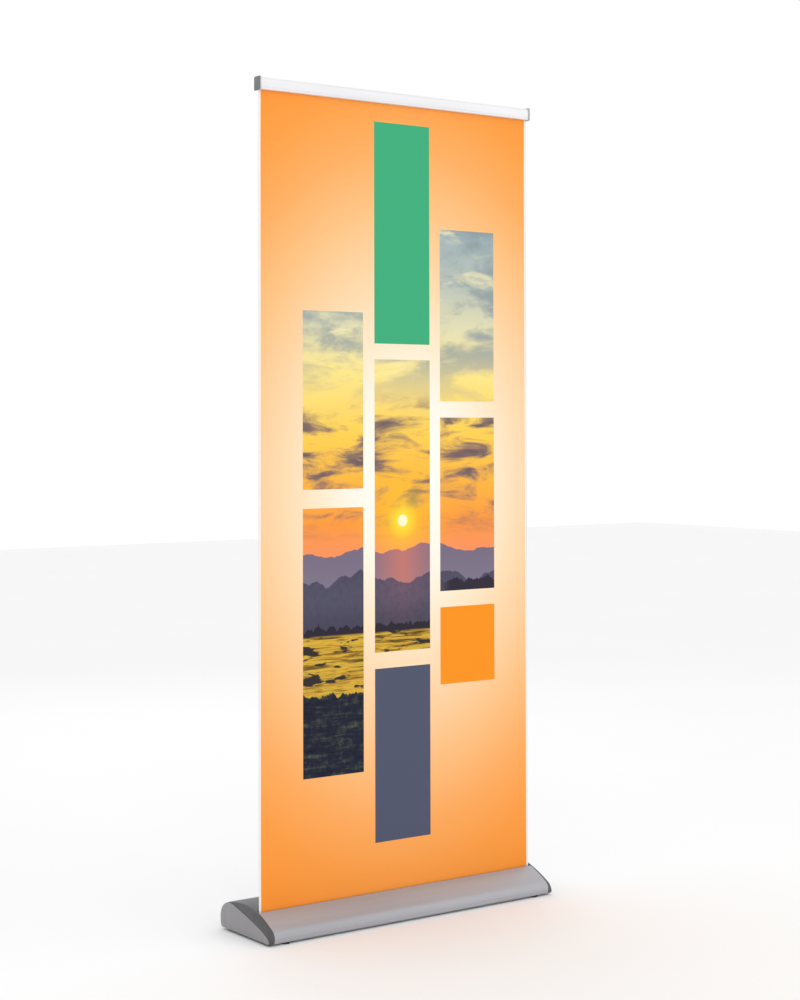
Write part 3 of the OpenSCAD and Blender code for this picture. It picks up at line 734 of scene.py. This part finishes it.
class StandSizes(bpy.types.PropertyGroup):
    """Sizes a user may change."""
    print_margin: bpy.props.FloatProperty(
        name="Print margin", description="Unprinted edge at each side of the film",
        default=0.006, min=0.0, max=0.03, unit="LENGTH")
    film_ripple: bpy.props.FloatProperty(
        name="Film ripple", description="How far the film stands out of its plane",
        default=0.0007, min=0.0, max=0.004, unit="LENGTH")
    edge_curl: bpy.props.FloatProperty(
        name="Edge curl", description="How far the film's side edges curl back",
        default=0.0012, min=0.0, max=0.005, unit="LENGTH")
    film_gauge: bpy.props.FloatProperty(
        name="Film gauge", description="Thickness of the film",
        default=0.0003, min=0.0001, max=0.0006, unit="LENGTH")
    edge_round: bpy.props.FloatProperty(
        name="Edge rounding", description="Radius along the edges of the extrusions",
        default=0.0012, min=0.0002, max=0.002, unit="LENGTH")


class StandLooks(bpy.types.PropertyGroup):
    """Colours a user may change."""
    silver: bpy.props.FloatVectorProperty(
        name="Silver", description="Anodised aluminium", subtype="COLOR", size=3,
        default=(0.56, 0.55, 0.56), min=0, max=1)
    cap: bpy.props.FloatVectorProperty(
        name="Cap", description="Moulded end caps", subtype="COLOR", size=3,
        default=(0.075, 0.075, 0.08), min=0, max=1)
    plate: bpy.props.FloatVectorProperty(
        name="Plate", description="Plates on the end caps", subtype="COLOR", size=3,
        default=(0.30, 0.29, 0.30), min=0, max=1)
    green: bpy.props.FloatVectorProperty(
        name="Green panel", description="Tall panel at the top", subtype="COLOR", size=3,
        default=rgb(62, 172, 123), min=0, max=1)
    slate: bpy.props.FloatVectorProperty(
        name="Slate panel", description="Panel at the foot", subtype="COLOR", size=3,
        default=rgb(81, 86, 108), min=0, max=1)
    amber: bpy.props.FloatVectorProperty(
        name="Amber panel", description="Small panel at the right", subtype="COLOR", size=3,
        default=rgb(248, 147, 29), min=0, max=1)


# ---- Pieces ----

def build_banner():
    """The film: a thin sheet from the roller's front up into the rail.

    It stands out of its plane by two crossing sine waves, and its side edges curl back
    by a square law. Both fade out, by a smooth step, towards the slot and the rail.
    """
    sizes = bpy.context.scene.stand_sizes
    columns, rows = 121, 261
    across = np.linspace(-FILM_W / 2, FILM_W / 2, columns)
    up = np.linspace(FILM_LOW[2], FILM_HIGH[2], rows)
    x, z = np.meshgrid(across, up)
    under_rail = RAIL_LOW[2] - 0.035
    free = np.clip((z - HOUSING_HIGH[2]) / 0.16, 0, 1) * np.clip((under_rail - z) / 0.12, 0, 1)
    free = free * free * (3 - 2 * free)
    side = np.clip((abs(x) / (FILM_W / 2) - 0.90) / 0.10, 0, 1)
    ripple = 0.6 * np.sin(7.0 * x + 0.9 * np.sin(1.7 * z)) + 0.4 * np.sin(11.0 * x - 2.3 * z + 1.0)
    y = FILM_Y + free * (sizes.film_ripple * ripple + sizes.edge_curl * side ** 2)
    points = np.stack([x, y, z], axis=-1)
    faces = wall_faces(rows, columns, closed=False).tolist()
    film = new_piece("banner_sheet", points, faces, [finish("print"), finish("film_back")],
                     angle=180, outward=False)
    place = film.data.attributes.new("film_place", "FLOAT_VECTOR", "POINT")
    place.data.foreach_set("vector", points.reshape(-1))
    gauge = film.modifiers.new("gauge", "SOLIDIFY")
    gauge.thickness = sizes.film_gauge
    gauge.offset = 0.0
    gauge.material_offset = 1
    gauge.material_offset_rim = 1
    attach(film, "base")
    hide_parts("banner_film")
    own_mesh(film)


def build_housing():
    """The extruded housing: one wall all round, open at the slot between two lips.

    A groove runs along the toe: the skin moves in by a bell curve of its height.
    """
    edge = bpy.context.scene.stand_sizes.edge_round
    wall, gap, lip, lip_edge = 0.002, 0.0035, 0.009, 0.0006
    groove_z, groove_width, groove_depth = 0.0135, 0.0009, 0.0007
    raw = base_section(2)
    outer = fit_section(raw, raw)
    groove = np.exp(-((outer[:, 1] - groove_z) / groove_width) ** 2) * (outer[:, 0] < FILM_Y - 0.06)
    outer = moved_in(outer, groove_depth * groove[:, None])
    inner = moved_in(outer, wall)
    crown = skin_height(outer, FILM_Y)
    low = crown - lip
    before, after = FILM_Y - gap, FILM_Y + gap

    def opened(skin, clear):
        """A skin's points from behind the slot round to its front, and none between."""
        order = np.arange(len(skin))
        slope = (order >= np.argmin(outer[:, 0])) & (skin[:, 1] > 0.03)
        split = np.nonzero(slope & (skin[:, 0] < before - clear))[0].max() + 1
        behind = np.nonzero((skin[:, 0] > after + clear) & (order > split))[0].min()
        return np.concatenate([skin[behind:], skin[:split]])

    outside = opened(outer, 0.0005)
    inside = opened(inner, wall)[::-1]
    front_lip = rounded([
        outside[-1], (before, skin_height(outer, before)), (before, low), (before - wall, low),
        (before - wall, crown - 0.0035), inside[0]],
        [0, edge, lip_edge, lip_edge, 0, 0], 6)[1:-1]
    rear_lip = rounded([
        inside[-1], (after + wall, crown - 0.0015), (after + wall, low), (after, low),
        (after, skin_height(outer, after)), outside[0]],
        [0, 0, lip_edge, lip_edge, edge, 0], 6)[1:-1]
    loop = np.concatenate([outside, front_lip, inside, rear_lip])
    rings = along_x(loop, np.linspace(HOUSING_LOW[0], HOUSING_HIGH[0], 9))
    housing = loft("base_housing", rings, [finish("housing")], angle=30)
    fit_piece(housing, "base", "anodised", "housing_shell")


def build_end_caps():
    """Each cap: a straight flange and a shoulder that rounds over to the flat face."""
    raw = base_section(1)
    wide = fit_section(raw, raw)
    face = fit_section(face_section(), raw)
    flange = HOUSING_HIGH[0] + 0.0025
    shelf = corners("end_cap_right")[1][0]
    turn = np.linspace(0, math.pi / 2, 9)[1:]
    for side, label in ((1, "right"), (-1, "left")):
        rings = [along_x(wide, [side * (HOUSING_HIGH[0] + 0.0002)])[0],
                 along_x(wide, [side * flange])[0]]
        for angle in turn:
            share = 1 - math.cos(angle)
            outline = wide + (face - wide) * share
            rings.append(along_x(outline, [side * (flange + (shelf - flange) * math.sin(angle))])[0])
        cap = loft(f"end_cap_body_{label}", rings, [finish("cap")], angle=50)
        fit_piece(cap, "base", "cap_plastic", f"end_cap_{label}")
        build_side_plate(side, label, face, shelf)


def build_side_plate(side, label, face, shelf):
    """The plate on a cap's outer face, with a rounded rim."""
    rings = domed(face, side, shelf, corners("trim_right")[1][0], radius=0.0009, inset=0.0006)
    plate = loft(f"side_plate_{label}", rings, [finish("plate")], angle=40)
    fit_piece(plate, "base", "side_plate", f"trim_{label}")


def build_seals():
    """A carrier strip and its pile on each side of the slot, with frayed tips."""
    for node, side in (("front_seal", -1), ("rear_seal", 1)):
        low, high = corners(node)
        wall = low[1] if side < 0 else high[1]
        tip = high[1] if side < 0 else low[1]
        carrier = wall - side * 0.001
        count, frayed = 341, 0.00025
        across = np.linspace(low[0], high[0], count)
        rng = np.random.default_rng(4 + side)
        fray = rng.uniform(-1, 1, count) * frayed
        outline = np.array([(wall, low[2]), (wall, high[2]), (carrier, high[2]), (carrier, high[2] - 0.0012),
                            (tip, high[2] - 0.0018), (tip, low[2] + 0.0016), (carrier, low[2] + 0.0008),
                            (carrier, low[2])])
        rings = along_x(outline, across)
        rings[:, 4:6, 1] += side * (frayed + fray[:, None])
        seal = loft(f"pile_{node}", rings, [finish("pile")], angle=40)
        fit_piece(seal, "base", "pile", node)


def build_roller():
    """The roller tube with its plugs, the fixed shaft and the spring inside.

    The spring's wire is a circle carried round a helix: it turns about the roller's
    axis as it goes along X.
    """
    dress(["roller_tube"], finish("silver"))
    dress(["tube_plug_left", "tube_plug_right", "spring_anchor"], finish("nylon"))
    dress(["bush_left", "bush_right"], finish("acetal"))
    dress(["idler_axle", "spring_shaft", "axle_clips", "cap_screws"], finish("zinc"))
    dress(["film_wound"], finish("film_back"))
    low, high = corners("torsion_spring")
    wire = 0.001
    radius = (high[2] - low[2]) / 2 - wire
    turns, points_a_turn = 60, 20
    share = np.linspace(0, 1, turns * points_a_turn + 1)[:, None]
    about = 2 * math.pi * turns * share
    around = np.linspace(0, 2 * math.pi, 8, endpoint=False)[None, :]
    out = radius + wire * np.cos(around)
    points = np.stack([
        low[0] + wire + (high[0] - low[0] - 2 * wire) * share + wire * np.sin(around),
        ROLLER[1] + out * np.cos(about), ROLLER[2] + out * np.sin(about)], axis=-1)
    spring = loft("spring_coils", points, [finish("spring")], angle=60)
    fit_piece(spring, "roller", "steel", "torsion_spring")


def build_socket():
    """The pole's socket: a long saddle on the housing with a collar round the pole."""
    low, high = corners("pole_socket")
    turn = np.linspace(0, 2 * math.pi, 96, endpoint=False)
    bore, spigot, pad_wide = 0.01255, 0.0150, 0.0165
    reach = (high[0] - low[0]) / 2
    raw = base_section(1)
    sunk = skin_height(fit_section(raw, raw), POLE[1]) - 0.004
    pad, mouth = high[2] - 0.012, high[2]

    def oval(long, wide, power, z):
        """A superellipse at a height, from its two half lengths and how square it is."""
        c, s = np.cos(turn), np.sin(turn)
        return np.stack([long * np.sign(c) * abs(c) ** (2 / power),
                         POLE[1] + wide * np.sign(s) * abs(s) ** (2 / power),
                         np.full(len(turn), z)], axis=-1)

    def circle(radius, z):
        return oval(radius, radius, 2, z)

    rings = [circle(bore, low[2]), circle(spigot, low[2]), circle(spigot, sunk),
             oval(reach - 0.0005, pad_wide, 2.6, sunk), oval(reach - 0.0005, pad_wide, 2.6, pad - 0.0015),
             oval(reach - 0.0011, pad_wide - 0.0006, 2.6, pad - 0.0004),
             oval(reach - 0.0025, pad_wide - 0.0015, 2.6, pad), oval(0.0190, 0.0172, 2.1, pad + 0.0004),
             circle(0.0172, pad + 0.002), circle(0.0166, mouth - 0.001), circle(0.0160, mouth - 0.0002),
             circle(0.0154, mouth), circle(0.0135, mouth), circle(bore + 0.0002, mouth - 0.0012),
             circle(bore, corners("pole_lower_tube")[0][2])]
    socket = loft("pole_saddle", np.array(rings), [finish("black")], angle=40)
    fit_piece(socket, "base", "black_plastic", "pole_socket")
    dress(["socket_screws"], finish("zinc"))


def build_pole():
    """Tubes, plug, guides, collets and head keep their CAD shapes; the twist locks are new."""
    dress(["pole_lower_tube", "pole_middle_tube", "pole_upper_tube"], finish("silver"))
    dress(["pole_bottom_plug", "middle_guide", "upper_guide", "pole_head"], finish("black"))
    dress(["lower_collet", "upper_collet"], finish("nylon"))
    for node, body in (("lower_lock", "lower_twist_lock"), ("upper_lock", "upper_twist_lock")):
        build_twist_lock(node, body)


def build_twist_lock(node, body):
    """A sleeve with twelve soft flutes, a plain neck and a rounded mouth.

    A flute's depth goes with a power of the cosine of twelve times the angle, and
    fades out by a smooth step towards both ends.
    """
    low, high = corners(node)
    foot, top = low[2], high[2]
    radius = (high[0] - low[0]) / 2
    tube = radius - 0.0044
    flute_foot, flute_top, flute_depth, fade = foot + 0.004, top - 0.006, 0.0009, 0.005
    side = np.column_stack([np.full(25, radius - 0.0002), np.linspace(flute_foot, flute_top, 25)])
    entry = [(tube, foot + 0.0006), (tube + 0.0006, foot), (radius - 0.0016, foot),
             (radius - 0.0005, foot + 0.0006), (radius, foot + 0.0018)]
    neck = [(radius, top - 0.0038), (radius - 0.0006, top - 0.0014), (radius - 0.0018, top - 0.0004),
            (radius - 0.0030, top), (tube - 0.0005, top), (tube - 0.0009, top - 0.0006),
            (tube - 0.0009, top - 0.0019), (tube + 0.0018, top - 0.0020), (tube + 0.0018, top - 0.0050),
            (tube, top - 0.0052)]
    profile = np.concatenate([entry, side, neck])

    def flutes(angle, height):
        along = np.clip((height - flute_foot) / fade, 0, 1) * np.clip((flute_top - height) / fade, 0, 1)
        along = along * along * (3 - 2 * along)
        outer = np.zeros_like(height)
        outer[len(entry) - 1:len(entry) + len(side)] = 1
        return flute_depth * outer * along * np.clip(np.cos(12 * angle), 0, 1) ** 0.8

    lock = lathe(f"{node}_sleeve", profile, (0, POLE[1], 0), [finish("black")], around=192, ripple=flutes,
                 angle=40)
    fit_piece(lock, body, "black_plastic", node)


def build_rail():
    """The clamping rail: back profile with its bead, hinged front jaw and grip strips."""
    wall, grip, film_gap = 0.0018, 0.012, 0.0007
    front, knuckle, bead = corners("rail_jaw")[0][1], 0.0036, 0.002
    hinge = (front + knuckle, RAIL_HIGH[2] - 0.0048)
    build_rail_back(wall, grip, FILM_Y + film_gap, hinge, bead)
    build_rail_jaw(wall, grip, FILM_Y - film_gap, hinge, knuckle, bead + 0.00015)
    dress(["rail_strip_back", "rail_strip_front"], finish("strip"))
    dress(["rail_cap_screws"], finish("zinc"))
    for side, label in ((1, "right"), (-1, "left")):
        build_rail_cap(side, label)


def build_rail_back(wall, grip, web, hinge, bead):
    """The back profile: a channel for the pole's head, a web behind the film and the bead.

    grip is the height of the part that clamps, and web the place of its front face.
    """
    edge = bpy.context.scene.stand_sizes.edge_round
    foot, top, rear = RAIL_LOW[2], RAIL_HIGH[2], RAIL_HIGH[1]
    under, tail, back = top - wall, top - 0.011, rear - 0.004 - wall
    small, neck = 0.0006, 0.0008
    start = math.degrees(math.acos(neck / bead))
    body = rounded([
        (rear, top), (rear, tail), (rear - wall, tail), (rear - wall, under), (back, under), (back, foot),
        (back - wall, foot), (back - wall, foot + grip), (web + wall, foot + grip), (web + wall, foot),
        (web, foot), (web, under), (hinge[0] + neck, under)],
        [edge, small, small, 0, 0, small, small, 0, 0, small, small, 0, 0], 5)
    outline = np.concatenate([body, arc(hinge, bead, start, -180 - start, 25), np.array([
        (hinge[0] - neck, under), (hinge[0] - 0.0011, under), (hinge[0] - 0.0011, top - small),
        (hinge[0] - 0.0005, top)])])
    rings = along_x(outline, np.linspace(RAIL_LOW[0], RAIL_HIGH[0], 5))
    rail = loft("rail_back_profile", rings, [finish("rail")], angle=30)
    fit_piece(rail, "top_rail", "anodised", "rail_back")


def build_rail_jaw(wall, grip, nose, hinge, knuckle, socket):
    """The front jaw: a hook round the bead, a face with a fine groove, and the part that clamps.

    nose is the place of the clamping face. The hook goes from radius socket to knuckle.
    """
    low, high = corners("rail_jaw")
    front, foot = low[1], RAIL_LOW[2]
    groove, groove_foot, groove_top = front + 0.0009, foot + 0.0042, foot + 0.0062
    shell = rounded([
        (front + wall, hinge[1] - 0.0035), (front + wall, foot + wall), (nose - wall, foot + wall),
        (nose - wall, foot + grip), (nose, foot + grip), (nose, foot), (front, foot),
        (front, groove_foot), (groove, groove_foot), (groove, groove_top), (front, groove_top)],
        [0, 0.0012, 0.0003, 0.0004, 0.0004, 0.0006, 0.0026, 0.0003, 0, 0, 0.0003], 7)
    hook_start, hook_end = 176, 415
    outline = np.concatenate([
        shell, arc(hinge, knuckle, 180, hook_start, 2), arc(hinge, socket, hook_start, hook_end, 25),
        arc(hinge, knuckle, hook_end, 240, 19)])
    rings = along_x(outline, np.linspace(low[0], high[0], 5))
    jaw = loft("rail_front_jaw", rings, [finish("rail")], angle=30)
    fit_piece(jaw, "front_jaw", "anodised", "rail_jaw")


def build_rail_cap(side, label):
    """A rounded end plate: a square with soft corners, domed a little at its rim."""
    low, high = corners(f"rail_cap_{label}")
    outer = max(abs(low[0]), abs(high[0]))
    square = [(low[1], low[2]), (low[1], high[2]), (high[1], high[2]), (high[1], low[2])]
    rings = domed(rounded(square, 0.004, 8), side, RAIL_HIGH[0] + 0.0002, outer, radius=0.0013)
    cap = loft(f"rail_end_{label}", rings, [finish("rail_cap")], angle=40)
    fit_piece(cap, "top_rail", "rail_cap", f"rail_cap_{label}")


def build_feet():
    """A rubber sole at each corner of the base, under a disc on a stud."""
    places = ("front_left", "front_right", "rear_left", "rear_right")
    for corner in places:
        centre = middle(f"sole_{corner}")
        low, high = corners(f"sole_{corner}")
        radius = (high[0] - low[0]) / 2
        sole = lathe(f"foot_sole_{corner}", [
            (0.0, low[2] + 0.0005), (0.004, low[2] + 0.0005), (0.0046, low[2]), (radius - 0.0008, low[2]),
            (radius - 0.0001, low[2] + 0.0006), (radius, high[2] - 0.0006), (radius - 0.0006, high[2]),
            (0.0051, high[2]), (0.0051, high[2] - 0.001), (0.0, high[2] - 0.001)],
            (centre[0], centre[1], 0), [finish("rubber")], around=48)
        fit_piece(sole, f"foot_sole_{corner}", "rubber", f"sole_{corner}")
    dress([f"stud_{corner}" for corner in places], finish("black"))
    dress(["foot_inserts"], finish("brass"))


# ---- Studio ----

def add_light(name, place, target, size, power):
    """A rectangular soft light that faces its target."""
    lamp = bpy.data.lights.new(name, "AREA")
    lamp.shape = "RECTANGLE"
    lamp.size, lamp.size_y = size
    lamp.energy = power
    light = bpy.data.objects.new(name, lamp)
    bpy.context.scene.collection.objects.link(light)
    light.location = place
    light.rotation_euler = (Vector(target) - Vector(place)).to_track_quat("-Z", "Y").to_euler()


def build_studio():
    """Camera from the front left at chest height, a pale floor and soft lights."""
    scene = bpy.context.scene
    camera = bpy.data.cameras.new("camera")
    view = bpy.data.objects.new("camera", camera)
    scene.collection.objects.link(view)
    scene.camera = view
    tilt, roll, azimuth = 1.113, 0.121, -36.094
    camera.sensor_width = 36.0
    camera.lens = 70.3368
    camera.shift_y = -0.1147
    camera.clip_end = 100
    view.location = (-2.9575, FILM_Y - 4.0598, 1.2544)
    view.rotation_euler = (math.radians(90 + tilt), math.radians(roll), math.radians(azimuth))
    world = bpy.data.worlds.new("studio")
    scene.world = world
    world.use_nodes = True
    sky = world.node_tree.nodes["Background"]
    sky.inputs["Color"].default_value = (1, 1, 1, 1)
    sky.inputs["Strength"].default_value = 1.0
    half = 14
    floor = new_piece("floor", [(-half, -half, 0), (half, -half, 0), (half, half, 0), (-half, half, 0)],
                      [(0, 1, 2, 3)], [finish("floor")], outward=False)
    add_light("key", (-3.0, -4.5, 3.4), (0, 0, 1.0), (2.4, 2.4), 26)
    add_light("fill", (3.6, -3.2, 2.2), (0, 0, 1.0), (2.0, 2.4), 8)
    add_light("back", (1.5, 3.6, 2.8), (0, 0, 1.1), (2.0, 2.0), 10)
    scene.view_settings.view_transform = "Standard"


# ---- Operators ----

class STAND_OT_studio(bpy.types.Operator):
    """Adds the camera, the floor and the lights"""
    bl_idname = "stand.studio"
    bl_label = "Studio"
    bl_options = {"REGISTER", "UNDO"}

    def execute(self, context):
        build_studio()
        return {"FINISHED"}


class STAND_OT_banner(bpy.types.Operator):
    """Builds the printed film"""
    bl_idname = "stand.banner"
    bl_label = "Film"
    bl_options = {"REGISTER", "UNDO"}

    def execute(self, context):
        build_banner()
        return {"FINISHED"}


class STAND_OT_housing(bpy.types.Operator):
    """Builds the extruded base housing"""
    bl_idname = "stand.housing"
    bl_label = "Base housing"
    bl_options = {"REGISTER", "UNDO"}

    def execute(self, context):
        build_housing()
        return {"FINISHED"}


class STAND_OT_end_caps(bpy.types.Operator):
    """Builds the base's two end caps and their plates"""
    bl_idname = "stand.end_caps"
    bl_label = "End caps"
    bl_options = {"REGISTER", "UNDO"}

    def execute(self, context):
        build_end_caps()
        return {"FINISHED"}


class STAND_OT_seals(bpy.types.Operator):
    """Builds the pile strips in the slot"""
    bl_idname = "stand.seals"
    bl_label = "Slot seals"
    bl_options = {"REGISTER", "UNDO"}

    def execute(self, context):
        build_seals()
        return {"FINISHED"}


class STAND_OT_roller(bpy.types.Operator):
    """Finishes the roller and its axles, and builds its spring"""
    bl_idname = "stand.roller"
    bl_label = "Roller"
    bl_options = {"REGISTER", "UNDO"}

    def execute(self, context):
        build_roller()
        return {"FINISHED"}


class STAND_OT_socket(bpy.types.Operator):
    """Builds the pole's socket on the base"""
    bl_idname = "stand.socket"
    bl_label = "Pole socket"
    bl_options = {"REGISTER", "UNDO"}

    def execute(self, context):
        build_socket()
        return {"FINISHED"}


class STAND_OT_pole(bpy.types.Operator):
    """Finishes the pole and builds its twist locks"""
    bl_idname = "stand.pole"
    bl_label = "Pole"
    bl_options = {"REGISTER", "UNDO"}

    def execute(self, context):
        build_pole()
        return {"FINISHED"}


class STAND_OT_rail(bpy.types.Operator):
    """Builds the clamping rail and its end caps"""
    bl_idname = "stand.rail"
    bl_label = "Top rail"
    bl_options = {"REGISTER", "UNDO"}

    def execute(self, context):
        build_rail()
        return {"FINISHED"}


class STAND_OT_feet(bpy.types.Operator):
    """Builds the levelling feet"""
    bl_idname = "stand.feet"
    bl_label = "Feet"
    bl_options = {"REGISTER", "UNDO"}

    def execute(self, context):
        build_feet()
        return {"FINISHED"}


OPERATORS = (STAND_OT_studio, STAND_OT_banner, STAND_OT_housing, STAND_OT_end_caps,
             STAND_OT_seals, STAND_OT_roller, STAND_OT_socket, STAND_OT_pole,
             STAND_OT_rail, STAND_OT_feet)


class STAND_PT_panel(bpy.types.Panel):
    """Lists the steps that build the stand."""
    bl_label = "Banner stand"
    bl_idname = "STAND_PT_panel"
    bl_space_type = "VIEW_3D"
    bl_region_type = "UI"
    bl_category = "Banner stand"

    def draw(self, context):
        for group in (context.scene.stand_sizes, context.scene.stand_looks):
            for key in group.bl_rna.properties.keys():
                if key not in {"rna_type", "name"}:
                    self.layout.prop(group, key)
        for step in OPERATORS:
            self.layout.operator(step.bl_idname)


CLASSES = [StandSizes, StandLooks, *OPERATORS, STAND_PT_panel]


def register():
    for cls in CLASSES:
        bpy.utils.register_class(cls)
    bpy.types.Scene.stand_sizes = bpy.props.PointerProperty(type=StandSizes)
    bpy.types.Scene.stand_looks = bpy.props.PointerProperty(type=StandLooks)


def unregister():
    del bpy.types.Scene.stand_looks
    del bpy.types.Scene.stand_sizes
    for cls in reversed(CLASSES):
        bpy.utils.unregister_class(cls)


def main():
    """Builds every piece in order."""
    register()
    for step in OPERATORS:
        getattr(bpy.ops.stand, step.bl_idname.partition(".")[2])()


if __name__ == "__main__":
    main()
